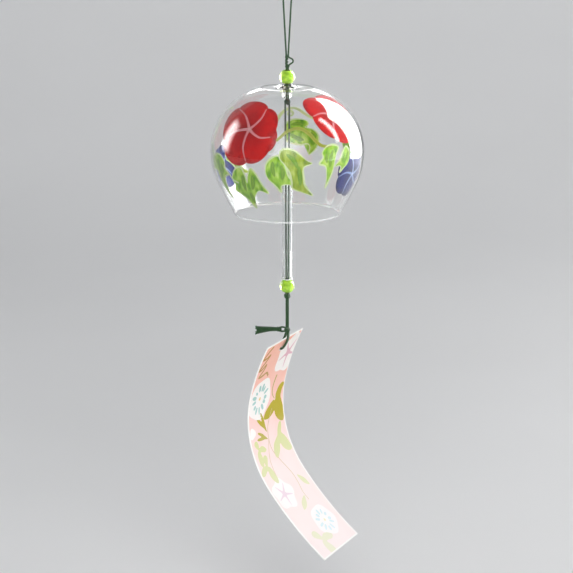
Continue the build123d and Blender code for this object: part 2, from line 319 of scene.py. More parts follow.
def mesh_piece(name, points, faces, uvs, material, body, slot=None, replaces=(), sharp=None):
    """A closed mesh that rides on a body; uvs has one (u, v) list for each face."""
    mesh = bpy.data.meshes.new(name)
    mesh.from_pydata([tuple(c * MM for c in p) for p in points], [], faces)
    layer = mesh.uv_layers.new(name="UVMap")
    layer.data.foreach_set("uv", [c for face in uvs for uv in face for c in uv])
    mesh.polygons.foreach_set("use_smooth", [True] * len(mesh.polygons))
    mesh.materials.append(material)
    mesh.validate()
    work = bmesh.new()
    work.from_mesh(mesh)
    bmesh.ops.recalc_face_normals(work, faces=work.faces)
    work.to_mesh(mesh)
    work.free()
    if sharp:
        mesh.set_sharp_from_angle(angle=math.radians(sharp))
    piece = bpy.data.objects.new(name, mesh)
    scene.collection.objects.link(piece)
    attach(piece, body)
    if replaces:
        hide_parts(*replaces)
    return piece


def turned_piece(name, outline, segments, material, body, sway=None, is_edge=None, **kind):
    """A closed outline of (radius, height) turned about the bell's axis.
    Faces for which is_edge(radius, height) holds get the rougher edge glass, whose whiteness is a painted
    highlight."""
    points, faces, uvs = [], [], []
    count = len(outline)
    for i in range(segments):
        a = 2 * math.pi * i / segments
        for r, z in outline:
            if sway:
                r, z = sway(r, z, a)
            points.append((r * math.sin(a), -r * math.cos(a), z))
    for i in range(segments):
        j = (i + 1) % segments
        u0, u1 = i / segments, (i + 1) / segments
        for k in range(count):
            m = (k + 1) % count
            v0, v1 = k / count, (k + 1) / count
            faces.append((i * count + k, i * count + m, j * count + m, j * count + k))
            uvs.append([(u0, v0), (u0, v1), (u1, v1), (u1, v0)])
    piece = mesh_piece(name, points, faces, uvs, material, body, **kind)
    if is_edge:
        piece.data.materials.append(edge_highlight_glass)
        for face in piece.data.polygons:
            c = face.center / MM
            if is_edge(math.hypot(c.x, c.y), c.z):
                face.material_index = 1
    return piece


def lengths_along(points):
    """The length of a line up to each of its points."""
    run = [0.0]
    for a, b in zip(points, points[1:]):
        run.append(run[-1] + math.dist(a, b))
    return run


def arc(x, z, radius, start, end, steps):
    """Points of a round stretch; the angles are in degrees."""
    angles = [math.radians(start + (end - start) * i / steps) for i in range(steps + 1)]
    return [(x + radius * math.cos(a), z + radius * math.sin(a)) for a in angles]


def rounded(points, radius, steps):
    """Rounds every corner of a closed (radius, height) outline; a rounding takes under half a run."""
    share = 0.45
    out = []
    for i, here in enumerate(points):
        here = Vector(here)
        a = Vector(points[i - 1]) - here
        b = Vector(points[(i + 1) % len(points)]) - here
        reach = min(radius, a.length * share, b.length * share)
        start, end = here + a.normalized() * reach, here + b.normalized() * reach
        for s in range(steps + 1):
            t = s / steps
            out.append(tuple(start * (1 - t) ** 2 + here * 2 * t * (1 - t) + end * t * t))
    return out


# drawing of cords

def spline_through(name, route, step):
    """Points in metres that Blender reads from a NURBS spline on a route given in millimetres."""
    route = [tuple(c * MM for c in p) for p in route]
    data = bpy.data.curves.new(name + "_route", "CURVE")
    data.dimensions = "3D"
    spline = data.splines.new("NURBS")
    spline.points.add(len(route) - 1)
    for point, place in zip(spline.points, route):
        point.co = (*place, 1.0)
    spline.order_u = min(3, len(route))
    spline.use_endpoint_u = True
    pieces = lengths_along(route)[-1] / (step * MM)
    data.resolution_u = max(2, min(1000, math.ceil(pieces / (len(route) - 1))))
    holder = bpy.data.objects.new(name + "_route", data)
    mesh = bpy.data.meshes.new_from_object(holder)
    read = [v.co.copy() for v in mesh.vertices]
    bpy.data.objects.remove(holder)
    bpy.data.curves.remove(data)
    bpy.data.meshes.remove(mesh)
    return read


def winding(count, turns, place, start=0.0):
    """Points in metres of place(share, angle) in millimetres while the angle runs through the turns."""
    return [Vector(place(t, 2 * math.pi * turns * t + start)) * MM for t in np.linspace(0, 1, count)]


def frames_along(points):
    """Two square directions at each point, carried along without twist."""
    last = len(points) - 1
    tangents = [(points[min(last, i + 1)] - points[max(0, i - 1)]).normalized() for i in range(last + 1)]
    side = tangents[0].orthogonal().normalized()
    frames = []
    for t in tangents:
        side = (side - t * side.dot(t)).normalized()
        frames.append((side, t.cross(side)))
    return frames


def plied_cord(name, centre, radius, body, plies=3, sides=8, start_turn=0.0, bulge=None, material=cord,
               **kind):
    """Plies twisted about a centre line given in metres; bulge(run, whole) widens the lay."""
    pitch = 2.4
    filament_repeat = 5.0
    overlap = 1.12
    end_share = 0.8
    ply = radius / (1 + 1 / math.sin(math.pi / plies)) if plies > 1 else radius
    offset = radius - ply
    ply *= overlap
    frames = frames_along(centre)
    run = [length / MM for length in lengths_along(centre)]
    points, faces, uvs = [], [], []
    count = len(centre)
    for k in range(plies):
        base = len(points)
        for i, (p, (n, b)) in enumerate(zip(centre, frames)):
            swell = bulge(run[i], run[-1]) if bulge else 1.0
            turn = 2 * math.pi * (run[i] / pitch + k / plies) + start_turn
            middle = p / MM + (n * math.cos(turn) + b * math.sin(turn)) * offset * swell
            thick = ply * swell * (end_share if i in (0, count - 1) else 1.0)
            for s in range(sides):
                w = 2 * math.pi * s / sides
                points.append(tuple(middle + (n * math.cos(w) + b * math.sin(w)) * thick))
        for i in range(count - 1):
            v0, v1 = run[i] / filament_repeat, run[i + 1] / filament_repeat
            for s in range(sides):
                q, t = base + i * sides, (s + 1) % sides
                faces.append((q + s, q + t, q + sides + t, q + sides + s))
                u0, u1 = s / sides, (s + 1) / sides
                uvs.append([(u0, v0), (u1, v0), (u1, v1), (u0, v1)])
        for ring, order in ((0, -1), (count - 1, 1)):
            faces.append(tuple([base + ring * sides + s for s in range(sides)][::order]))
            uvs.append([(0.5, 0.5)] * sides)
    return mesh_piece(name, points, faces, uvs, material, body, slot="cord", **kind)


def cord_along(name, route, radius, body, step=0.22, **kind):
    """A strand along a smooth spline on a route in mm; returns its piece and its centre line."""
    centre = spline_through(name, route, step)
    return plied_cord(name, centre, radius, body, **kind), centre


# the cord between its knots

def strand(name, start, end, body, node_name, start_turn, far_end=None):
    """A straight strand from start to end; far_end changes nothing."""
    piece, centre = cord_along(name, [start, end], DRAWN, body, 0.28, start_turn=start_turn,
                               replaces=(node_name,))
    if far_end:
        tuple(centre[0])
        lengths_along(centre)[-1]
        [tuple(p) for p in centre]


for side, word in ((-1, "left"), (1, "right")):
    x = side * APART
    strand(f"hanging_strand_{word}", (side * HOOK_R, 0, HOOK_Z), (x, 0, UPPER_KNOT_Z + UPPER_REACH - TUCK),
           "hanging_cord", f"hanging_cord_{word}", side, "object")
    strand(f"neck_strand_{word}", (x, 0, NECK_TOP_Z), (x, 0, STOPPER_KNOT_Z + STOPPER_REACH - TUCK),
           "neck", f"neck_cord_{word}", side)
    strand(f"clapper_strand_{word}", (side * CLAPPER_APART, 0, STOPPER_KNOT_Z - STOPPER_REACH + TUCK),
           (x, 0, LOWER_KNOT_Z + LOWER_REACH - TUCK), "clapper_cord", f"clapper_cord_{word}", side, "object")
    strand(f"strip_strand_{word}", (x, 0, LOWER_KNOT_Z - LOWER_REACH + TUCK),
           (x, 0, TIE_KNOT_Z + TIE_REACH - TUCK), "strip_cord", f"strip_cord_{word}", side)

# the bend over the hook stops short of a half turn, where the legs begin
BEND_FIRST, BEND_LAST = math.radians(174.3), math.radians(5.7)
bend = winding(60, (BEND_LAST - BEND_FIRST) / (2 * math.pi),
               lambda t, a: (HOOK_R * math.cos(a), 0, HOOK_Z + HOOK_R * math.sin(a)), BEND_FIRST)
plied_cord("hook_bend", bend, STRAND, "hook_loop", replaces=("loop_top",))


# upper knot: one strand winds round the other, which bows out to the right

knot_z = UPPER_KNOT_Z
wrap = winding(110, 4.2, lambda t, a: (
    -0.35 + 0.42 * math.cos(a), 0.42 * math.sin(a), knot_z + 1.5 - 6.6 * t))
collar = winding(60, 1.3, lambda t, a: (
    0.85 * math.cos(a), 0.8 * math.sin(a), knot_z - 3.6 - 0.9 * t), 0.6)
knot_foot = (0, NECK_TOP_Z - 0.3)
core = [(-APART, 0, knot_z + 1.6), (-0.5, 0.25, knot_z), (-0.2, 0.2, knot_z - 3.0), (-APART, *knot_foot)]
bow = [(APART, 0, knot_z + 1.7), (0.7, -0.3, knot_z + 0.7), (1.7, -0.35, knot_z + 0.3),
       (2.7, -0.3, knot_z - 0.3), (3.1, -0.25, knot_z - 1.2), (2.7, -0.2, knot_z - 2.1),
       (1.6, -0.25, knot_z - 2.7), (0.8, -0.35, knot_z - 3.3), (0.4, -0.2, knot_z - 4.2), (APART, *knot_foot)]
plied_cord("upper_knot_wrap", wrap, 0.5, "neck", replaces=("upper_knot",))
cord_along("upper_knot_core", core, STRAND, "neck")
cord_along("upper_knot_bow", bow, STRAND, "neck")
plied_cord("upper_knot_collar", collar, 0.4, "neck")


# tight knots

def ball_knot(name, centre_z, radius, node_name, tilt):
    """An overhand knot pulled tight: two strands side by side along one trefoil."""
    reach = (radius - STRAND) / 3.0
    c, s = math.cos(tilt), math.sin(tilt)
    for k, (turn, depth) in enumerate(((0.0, -1.86), (math.pi / 3, 1.86))):
        centre = []
        for a in np.linspace(0, 2 * math.pi, 120):
            x = math.sin(a) + 2 * math.sin(2 * a)
            z = math.cos(a) - 2 * math.cos(2 * a)
            y = -math.sin(3 * a) * depth
            x, z = x * math.cos(turn) - z * math.sin(turn), x * math.sin(turn) + z * math.cos(turn)
            place = Vector((x * c - z * s, y, x * s + z * c)) * reach
            centre.append((place + Vector((0, 0, centre_z))) * MM)
        plied_cord(f"{name}_strand_{k + 1}", centre, STRAND, node_name, replaces=() if k else (node_name,))


ball_knot("stopper_knot", STOPPER_KNOT_Z, 1.75, "stopper_knot", 0.3)
ball_knot("lower_knot", LOWER_KNOT_Z, 1.8, "lower_knot", 0.2)
ball_knot("tie_knot_ball", TIE_KNOT_Z, 1.65, "tie_knot", 0.5)


# the card's place and bend, which the loop of cord that holds it shares

yaw, roll, top_lean = math.radians(62.3), math.radians(2.5), math.radians(-28.0)
ACROSS = Vector((math.cos(yaw) * math.cos(roll), math.sin(yaw) * math.cos(roll), math.sin(roll)))
FACE = Vector((math.sin(yaw), -math.cos(yaw), 0.0))
DOWN = ACROSS.cross(FACE)
STRIP_TOP = Vector((-0.944, -2.486, -197.889))
STRIP_ARCS = ((130.0, 13.3), (61.0, 51.2), (184.0, 14.6))  # radius and degrees of each bend, from the top


def card_put(u, s, reach):
    """A place u across and s down the card, and reach in front of its middle surface."""
    x = y = 0.0
    lean = top_lean
    for bend in STRIP_ARCS:
        radius, angle = bend
        part = s if bend == STRIP_ARCS[-1] else min(s, radius * math.radians(angle))
        turned = lean + part / radius
        x += radius * (math.cos(lean) - math.cos(turned))
        y += radius * (math.sin(turned) - math.sin(lean))
        lean = turned
        s -= part
    x += reach * math.cos(lean)
    y -= reach * math.sin(lean)
    return tuple(STRIP_TOP + FACE * x + DOWN * y + ACROSS * u)


# the tie: a lobe of two strands, from which the tails leave to the left

lobe_z = TIE_KNOT_Z + 0.35
lobes = (
    [(-5.3, 0.0, lobe_z - 0.35), (-4.2, -0.5, lobe_z - 0.75), (-2.9, -0.9, lobe_z - 0.95),
     (-1.5, -1.1, lobe_z - 0.8), (-0.3, -1.2, lobe_z - 0.5), (0.7, -0.4, lobe_z - 1.0)],
    [(-5.3, 0.0, lobe_z + 0.35), (-4.4, -0.5, lobe_z + 0.95), (-3.1, -0.9, lobe_z + 1.45),
     (-1.5, -1.1, lobe_z + 1.35), (-0.1, -1.2, lobe_z + 0.5), (0.9, -0.5, lobe_z - 0.7)],
)
for k, points in enumerate(lobes):
    cord_along(f"tie_lobe_strand_{k + 1}", points, 0.5, "tie_knot")
band = winding(70, 1.6, lambda t, a: (-5.2 + 0.6 * t, 0.85 * math.cos(a), lobe_z + math.sin(a)))
plied_cord("tie_lobe_band", band, 0.38, "tie_knot")

TAIL_STEP = 0.25
FRAYS = 26
# The line between the two tails, as x and height over the tie's knot, and how far each tail lies
# off it in height and in depth.
TAIL_ROUTE = ((-3.0, 0.3, 0.46, 0.0), (-7.05, 0.475, 0.46, 0.0), (-11.37, 0.35, 0.7, 0.144),
              (-16.5, -0.2, 1.26, 0.48))


def widening(base, early, late):
    """A tail swells soon after the lobe and again towards its cut end."""
    return lambda s, whole: base + early * min(1.0, 4 * s / whole) + late * (s / whole) ** 2


def frayed_end(word, centre, rng):
    """Single filaments that stand out round the cut end of a tail."""
    end, way = centre[-1] / MM, (centre[-1] - centre[-2]).normalized()
    for k in range(FRAYS):
        a = 2 * math.pi * k / FRAYS + rng.random() * 0.4
        around = Vector((0, math.cos(a), math.sin(a)))
        root = end - way * 0.9 + around * (0.25 + 0.55 * rng.random())
        tip = end + way * (0.15 + 0.45 * rng.random()) + around * (0.45 + 0.75 * rng.random())
        middle = (root + tip) / 2 + Vector((0, 0, 0.08 * (rng.random() - 0.5)))
        plied_cord(f"fray_{word}_{k + 1:02d}", [root * MM, middle * MM, tip * MM], 0.085, "tie_knot",
                   plies=1, sides=5, material=cord_fray)


for side, word, seed in ((-1, "lower", 9), (1, "upper", 5)):
    route = [(x, side * behind, TIE_KNOT_Z + z + side * above) for x, z, above, behind in TAIL_ROUTE]
    _, centre = cord_along(f"tail_strand_{word}", route, STRAND, "tie_knot", TAIL_STEP,
                           replaces=(f"tie_tail_{word}",), bulge=widening(1.1, 0.4, 0.65))
    frayed_end(word, centre, random.Random(seed))

inner_tail = [(-4.6, 0.25, -193.75), (-7.5, 0.2, -193.7), (-11.4, 0.1, -193.9), (-16.2, 0.0, -194.3)]
cord_along("tail_strand_inner", inner_tail, STRAND, "tie_knot", TAIL_STEP, bulge=widening(1.0, 0.3, 0.5))


def loop_route(beside):
    """From the tie's knot down the card's front, through its hole and up behind it to the knot."""
    knot_reach, edge_reach, hole_reach, slack = 0.55, 1.15, 1.05, 0.2  # in front of the card's middle
    edge_drop = 0.7
    edge_share = 0.7  # part of the way from the middle of the card's top edge to under the knot
    knot = Vector((0, 0, TIE_KNOT_Z))
    edge = STRIP_TOP + FACE * edge_drop * math.tan(top_lean) + DOWN * edge_drop
    edge += ACROSS * ((knot - STRIP_TOP).dot(ACROSS) * edge_share + beside)
    route = []
    for face in (1, -1):
        x, y, z = knot + FACE * face * knot_reach + DOWN * TIE_REACH + ACROSS * beside
        inside_knot = Vector((x - face * 0.1, y * 0.4, z + TUCK))
        over_edge = edge + FACE * face * edge_reach
        fold = Vector(card_put(beside, PUNCH_S, face * hole_reach))
        slack_fold = Vector(card_put(beside, PUNCH_S, face * (hole_reach + 2 * slack)))
        leg = [inside_knot, over_edge, (over_edge + slack_fold) / 2, fold]
        route += leg[::face]
    return route


for side, word in ((-1, "left"), (1, "right")):
    cord_along(f"loop_strand_{word}", loop_route(side * APART), 0.53, "strip",
               replaces=(f"tie_loop_{word}",))


# beads and tube

BEAD_BORE = 1.1
TUBE_R, TUBE_BORE, TUBE_FLARE = 2.8, 2.05, 3.05


def bead(name, radius, bore, height, material, body, node_name, slot):
    """A ball with a bore whose mouths are rounded."""
    lip, sink = 0.2, 0.14
    half = math.sqrt(radius ** 2 - (bore + lip) ** 2)
    start = math.degrees(math.asin(half / radius))
    outline = arc(0, height, radius, start, -start, 40)
    outline += arc(bore + lip, height - half + sink, lip, -90, -180, 4)
    outline += [(bore, height + half * share) for share in (-0.5, 0.0, 0.5)]
    outline += arc(bore + lip, height + half - sink, lip, 180, 90, 4)
    turned_piece(name, outline, 64, material, body, slot=slot, replaces=(node_name,))


def bead_heart(name, height, body):
    """The milky glass round a lime bead's bore, inside its clear skin."""
    radius, bore = 2.15, BEAD_BORE + 0.15
    tall = radius * 1.25
    angles = [math.radians(t) for t in np.linspace(-80, 80, 21)]
    outline = [(bore + (radius - bore) * math.cos(a) ** 0.6, height + tall * math.sin(a)) for a in angles]
    turned_piece(name, [(bore, height - tall), *outline, (bore, height + tall)], 48, lime_heart, body,
                 slot="bead_glass")


bead_heart("upper_bead_heart", UPPER_BEAD_Z, "upper_bead")
bead_heart("lower_bead_heart", LOWER_BEAD_Z, "lower_bead")
bead("upper_glass_bead", 4.0, BEAD_BORE, UPPER_BEAD_Z, lime, "upper_bead", "upper_bead", "bead_glass")
bead("lower_glass_bead", 3.9, BEAD_BORE, LOWER_BEAD_Z, lime, "lower_bead", "lower_bead", "bead_glass")
bead("clear_stopper_bead", 2.6, 1.4, STOPPER_Z, stopper_glass, "stopper", "stopper_bead", "clear_glass")

tube_outline = [(TUBE_BORE, TUBE_FOOT_Z), (TUBE_FLARE, TUBE_FOOT_Z), (2.97, TUBE_FOOT_Z + 0.55),
                (TUBE_R, TUBE_FOOT_Z + 1.3), (TUBE_R, TUBE_TOP_Z - 20), (TUBE_R, TUBE_TOP_Z),
                (TUBE_BORE, TUBE_TOP_Z), (TUBE_BORE, TUBE_TOP_Z - 20)]
turned_piece("striking_tube", rounded(tube_outline, 0.3, 5), 64, tube_glass, "clapper_tube",
             slot="clear_glass", replaces=("clapper_tube",),
             is_edge=lambda r, z: z > TUBE_TOP_Z - 0.35 or z < TUBE_FOOT_Z + 0.5)


# globe

GLOBE_R = 40.0
MOUTH_R = 28.0
CROWN_R = 14.5
WAIST_DEPTH = 33.0  # from the disc to the widest place, and from there to the mouth
LOWER_CURVE = 0.778  # the curve under the waist, as a part of the one arc that would reach the mouth
CROWN_FALL = 0.104  # how far the rounded edge of the disc falls
HOLE_R = 2.0
LIP_R, LIP_RISE = 5.35, 1.3
RIM_RISE = 0.36  # the wall ends this far above the mouth, where the rounded rim begins
EDGE_RISE = 1.1  # the whiter edge glass with its painted highlight reaches this far above the mouth


def wall_profile(inset, steps=1):
    """Points of the globe's wall from the rim up to the disc, outside (inset 0) or inside."""
    waist_r, waist_z = GLOBE_R - inset, DISC_Z - WAIST_DEPTH
    mouth_r, mouth_z, narrowing = MOUTH_R - inset, waist_z - WAIST_DEPTH, GLOBE_R - MOUTH_R
    curve = LOWER_CURVE * (narrowing ** 2 + WAIST_DEPTH ** 2) / (2 * narrowing) - inset
    reach = curve - narrowing
    lean = math.degrees(math.atan2(WAIST_DEPTH, reach) - math.acos(curve / math.hypot(reach, WAIST_DEPTH)))
    across, up = waist_r - (CROWN_R - inset), DISC_Z - inset - CROWN_FALL - waist_z
    bow_radius = (across ** 2 + up ** 2) / (2 * across)
    low = arc(waist_r - curve, waist_z, curve, -lean, 0, 40 * steps)
    top = math.degrees(math.asin(up / bow_radius))
    high = arc(waist_r - bow_radius, waist_z, bow_radius, 0, top, 72 * steps)
    wall = [(mouth_r + (low[0][0] - mouth_r) * t, mouth_z + (low[0][1] - mouth_z) * t)
            for t in np.linspace(0, 1, 14 * steps, endpoint=False)]
    return wall + low + high[1:]


def globe_outline():
    """The wall's section: outside, disc, lip round the hole, underside, inside and rim."""
    outside, inside = wall_profile(0.0), wall_profile(GLASS_WALL)
    rim_z = outside[0][1] + RIM_RISE
    section = [p for p in outside if p[1] > rim_z]
    section += [(r, DISC_Z + z) for r, z in ((14.2, -0.035), (13.7, 0), (10.0, 0), (6.6, 0), (5.7, 0.05))]
    lip_middle, lip_half = (LIP_R + HOLE_R) / 2, (LIP_R - HOLE_R) / 2
    for a in np.radians(np.linspace(8, 172, 22)):
        section.append((lip_middle + lip_half * math.cos(a), DISC_Z + LIP_RISE * math.sin(a)))
    section += [(HOLE_R + r, DISC_Z - z) for r, z in (
        (0, 0.4), (0, 0.9), (0.09, 1.11), (0.3, 1.2), (4.5, 1.2), (8.5, 1.2), (10.5, 1.2), (11.0, 1.235))]
    section += [p for p in reversed(inside) if p[1] > rim_z]
    middle = (inside[0][0] + outside[0][0]) / 2
    for a in np.radians(np.linspace(180, 360, 12)):
        section.append((middle + GLASS_WALL / 2 * math.cos(a), rim_z + RIM_RISE * math.sin(a)))
    return section


def lip_sway(r, z, a):
    """The lip round the hole is drawn by hand, so it isn't quite round or level."""
    if z > DISC_Z + 0.1 and r < 6:
        share = (z - DISC_Z) / LIP_RISE
        return r + 0.16 * share * math.sin(3 * a + 0.8), z - 0.05 * share * (1 + math.sin(2 * a + 2.1))
    return r, z


turned_piece("blown_globe", globe_outline(), 224, clear, "globe", sway=lip_sway, slot="clear_glass",
             replaces=("glass_globe",), is_edge=lambda r, z: z < DISC_Z - 2 * WAIST_DEPTH + EDGE_RISE)


# thin layers of paint and ink

def smooth_line(points, steps, closed=False):
    """A Catmull-Rom line through points of any length."""
    points = [np.array(p, float) for p in points]
    count = len(points)
    out = []
    for i in range(count if closed else count - 1):
        beside = range(i - 1, i + 3)
        a, b, c, d = [points[k % count if closed else max(0, min(count - 1, k))] for k in beside]
        for s in range(steps):
            t = s / steps
            out.append(0.5 * (2 * b + (c - a) * t + (2 * a - 5 * b + 4 * c - d) * t * t
                              + (3 * b - a - 3 * c + d) * t ** 3))
    return out if closed else out + [points[-1]]


def same_place(p):
    return p


def patch(name, put, outline, middle, depths, material, body, rings=7, uv=None, limit=same_place):
    """A thin closed layer with an outline in mm; put(right, up, depth) lays it on its surface."""
    middle = np.array(middle, float)
    count = len(outline)
    flat = [(0.5, 0.0, limit(middle))]
    for k in range(1, rings + 1):
        for i, p in enumerate(outline):
            flat.append((i / count, k / rings, limit(middle + (np.array(p) - middle) * k / rings)))
    tags = [uv(p) if uv else (u, v) for u, v, p in flat]
    points = [put(p[0], p[1], depth) for depth in depths for _, _, p in flat]
    size = len(flat)
    faces = []
    for first, order in ((0, 1), (size, -1)):
        for i in range(count):
            j = (i + 1) % count
            cells = [(first, first + 1 + i, first + 1 + j)]
            for q in range(first + 1, first + 1 + (rings - 1) * count, count):
                cells.append((q + i, q + count + i, q + count + j, q + j))
            faces += [cell[::order] for cell in cells]
    q = size - count
    faces += [(q + i, size + q + i, size + q + (i + 1) % count, q + (i + 1) % count) for i in range(count)]
    uvs = [[tags[f % size] for f in face] for face in faces]
    mesh_piece(name, points, faces, uvs, material, body, sharp=40)


def ribbon(name, put, line, width, depths, material, body, uv=None, limit=same_place):
    """A brushed stroke along a line in mm; width is a function of the share along it."""
    line = [np.array(p, float) for p in line]
    last = len(line) - 1
    run = lengths_along(line)
    flat, tags = [], []
    for i, p in enumerate(line):
        a, b = line[max(0, i - 1)], line[min(last, i + 1)]
        way = (b - a) / max(1e-9, float(np.linalg.norm(b - a)))
        across = np.array((-way[1], way[0]))
        share = run[i] / run[-1]
        for k in (-1, 0, 1):
            place = limit(p + across * width(share) / 2 * k)
            flat.append(place)
            tags.append(uv(place) if uv else (share * 0.3, 1.0 - 0.5 * abs(k)))
    points = [put(p[0], p[1], depth) for depth in depths for p in flat]
    size = len(flat)
    faces = []
    for q in range(0, 3 * last, 3):
        for first in (q, q + 1):
            faces.append((first, first + 1, first + 4, first + 3))
            faces.append((size + first + 3, size + first + 4, size + first + 1, size + first))
        faces.append((q, q + 3, size + q + 3, size + q))
        faces.append((size + q + 2, size + q + 5, q + 5, q + 2))
    for q in (0, 1):
        faces.append((size + q, size + q + 1, q + 1, q))
    for q in (3 * last, 3 * last + 1):
        faces.append((q, q + 1, size + q + 1, size + q))
    uvs = [[tags[f % size] for f in face] for face in faces]
    mesh_piece(name, points, faces, uvs, material, body, sharp=40)


def turned_points(points, turn, scale, squash, mirror):
    """An outline of unit size turned by degrees, scaled, made wider or narrower, and mirrored."""
    c, s = math.cos(math.radians(turn)), math.sin(math.radians(turn))
    wide = -scale * squash if mirror else scale * squash
    return [(x * wide * c - y * scale * s, x * wide * s + y * scale * c) for x, y in points]


def blot(radius, wobble, waves, phase, count=60):
    """A round blot whose edge goes in and out in a few waves."""
    out = []
    for i in range(count):
        a = 2 * math.pi * i / count
        r = radius * (1 + wobble * math.sin(waves * a + phase))
        out.append((r * math.cos(a), r * math.sin(a)))
    return out


def taper(first, last):
    return lambda t: first + (last - first) * t


def steady(width):
    return lambda t: width


def swelling(ends, more):
    return lambda t: ends + more * math.sin(math.pi * t)


# painted decoration, on the inside of the globe

wall = wall_profile(GLASS_WALL, 3)
wall_r, wall_z = np.array(wall).T
wall_run = np.concatenate([[0.0], np.cumsum(np.hypot(np.diff(wall_r), np.diff(wall_z)))])


def wall_place(azimuth, height):
    """Turns a place on the inner wall into a function of (right, up, depth) in mm near it."""
    start = float(np.interp(height, wall_z, wall_run))

    def at(run):
        return np.array((np.interp(run, wall_run, wall_r), np.interp(run, wall_run, wall_z)))

    def put(x, y, depth):
        r, z = at(start + y)
        dr, dz = at(start + y + 0.5) - at(start + y - 0.5)
        size = math.hypot(dr, dz)
        a = math.radians(azimuth) + x / r
        r, z = r - depth * dz / size, z + depth * dr / size
        return (r * math.sin(a), -r * math.cos(a), z)

    return put


def trumpet_outline(radius, first, lobes, tall):
    """Five-lobed open trumpet flower; lobes gives each lobe's own size."""
    out = []
    for turn in np.arange(0, 360, 2.4):
        whole, t = divmod(((turn - first) % 360) / 72.0, 1.0)
        k = int(whole) % 5
        beside = lobes[(k + 1) % 5] if t > 0.5 else lobes[k - 1]
        crest = math.sin(math.pi * t)
        size = 0.5 * (lobes[k] * (1 + crest) + (lobes[k] + beside) / 2 * (1 - crest))
        r = radius * size * (0.87 + 0.13 * crest ** 0.55)
        a = math.radians(turn)
        out.append((r * math.cos(a), r * math.sin(a) * tall))
    return out


def painted_flower(name, put, radius, first, lobes, paints, rib_width, offset=(0.0, 0.0), tall=1.0):
    """Petals, five curved ribs and a star-shaped heart; first is the degree of the first rib."""
    petal, rib, heart = paints
    outline = [(x + offset[0], y + offset[1]) for x, y in trumpet_outline(radius, first, lobes, tall)]
    patch(f"{name}_petals", put, outline, (0, 0), (0.06, 0.12), petal, "globe", rings=8)
    for k in range(5):
        a = math.radians(first + 72 * k)
        reach = radius * (lobes[k] + lobes[k - 1]) / 2 * 0.84
        tip = np.array((math.cos(a), math.sin(a) * tall)) * reach + np.array(offset)
        across = np.array((-math.sin(a), math.cos(a))) * radius
        line = smooth_line([(0, 0), tip * 0.28 - across * 0.08, tip * 0.62 - across * 0.11, tip], 6)
        ribbon(f"{name}_rib_{k + 1}", put, line, taper(rib_width * 1.15, rib_width * 0.4), (0.02, 0.16),
               rib, "globe")
    star = blot(rib_width * 1.1, 0.25, 5, math.pi / 2, 20)
    patch(f"{name}_heart", put, star, (0, 0), (0.015, 0.165), heart, "globe", rings=2)


RED = ((red, rib_pink, heart_pink), 1.2)
BLUE = ((blue, rib_blue, rib_blue), 1.1)
painted_flower("red_flower_front", wall_place(-33.0, -82.3), 16.9, 62.0,
               (1.0, 1.03, 1.06, 1.02, 0.97), *RED, offset=(-1.6, -0.8), tall=1.05)
painted_flower("red_flower_right", wall_place(49.0, -76.8), 15.0, 104.0,
               (1.08, 0.98, 1.05, 1.0, 1.02), *RED, offset=(0.5, 0.0), tall=0.98)
painted_flower("blue_flower_right", wall_place(59.5, -106.6), 12.6, 35.0, (1.0, 1.04, 0.98, 1.02, 1.0), *BLUE)
painted_flower("blue_flower_left", wall_place(-112.0, -109.0), 11.8, 80.0, (1.02, 0.97, 1.0, 1.04, 0.98),
               *BLUE)
painted_flower("red_flower_back", wall_place(-152.0, -95.0), 14.0, 20.0, (1.0, 1.05, 0.98, 1.0, 1.03), *RED)

# Leaves in units of their scale: an outline that turns once about its middle, and its brush shading.
CLEFT_LEAF = (
    [(-0.03, 0.1), (-0.13, 0.52), (-0.3, 0.86), (-0.56, 0.9), (-0.86, 0.62), (-1.0, 0.2), (-0.84, -0.1),
     (-0.9, -0.44), (-0.58, -0.62), (-0.2, -0.95), (0.12, -1.42), (0.2, -0.8), (0.56, -0.3), (1.06, -0.42),
     (0.76, 0.16), (0.54, 0.62), (0.24, 0.9), (0.05, 0.52)],
    [((-0.2, -0.35), (-0.26, 0.1), (-0.24, 0.5)), ((0.2, -0.25), (0.3, 0.1), (0.28, 0.55)),
     ((0.02, -0.45), (0.1, -0.8), (0.12, -1.1))])
ROUND_LEAF = (
    [(-0.1, 0.86), (-0.42, 0.84), (-0.78, 0.5), (-0.84, 0.0), (-0.66, -0.42), (-0.3, -0.74), (0.1, -1.16),
     (0.1, -0.78), (0.44, -0.66), (0.92, -0.78), (0.46, -0.2), (0.22, 0.4)],
    [((-0.46, 0.55), (-0.44, 0.15), (-0.3, -0.25)), ((0.0, 0.4), (0.12, 0.0), (0.12, -0.4))])
CURL_LEAF = (
    [(-0.86, 0.5), (-0.74, 0.86), (-0.3, 1.1), (0.3, 1.06), (0.5, 0.8), (0.3, 0.6), (0.72, 0.5), (1.04, 0.22),
     (1.08, -0.2), (0.9, -0.62), (0.5, -0.98), (0.56, -0.56), (0.42, -0.36), (0.0, -0.44), (-0.5, -0.34),
     (-0.84, -0.1)],
    [((-0.5, 0.72), (-0.1, 0.8), (0.2, 0.74)), ((0.62, 0.3), (0.8, 0.0), (0.74, -0.4)),
     ((-0.6, 0.2), (-0.2, -0.05), (0.2, -0.15))])
HOOK_LEAF = (
    [(-0.86, 0.62), (-0.78, 1.0), (-0.4, 1.08), (0.0, 0.92), (0.5, 0.48), (0.78, 0.32), (0.36, 0.14),
     (0.36, -0.36), (0.46, -0.86), (0.86, -1.42), (0.3, -1.2), (-0.18, -0.96), (-0.24, -0.6), (-0.36, -0.1),
     (-0.62, 0.3)],
    [((-0.5, 0.8), (-0.15, 0.5), (0.05, 0.1)), ((0.1, 0.2), (0.16, -0.3), (0.2, -0.8))])
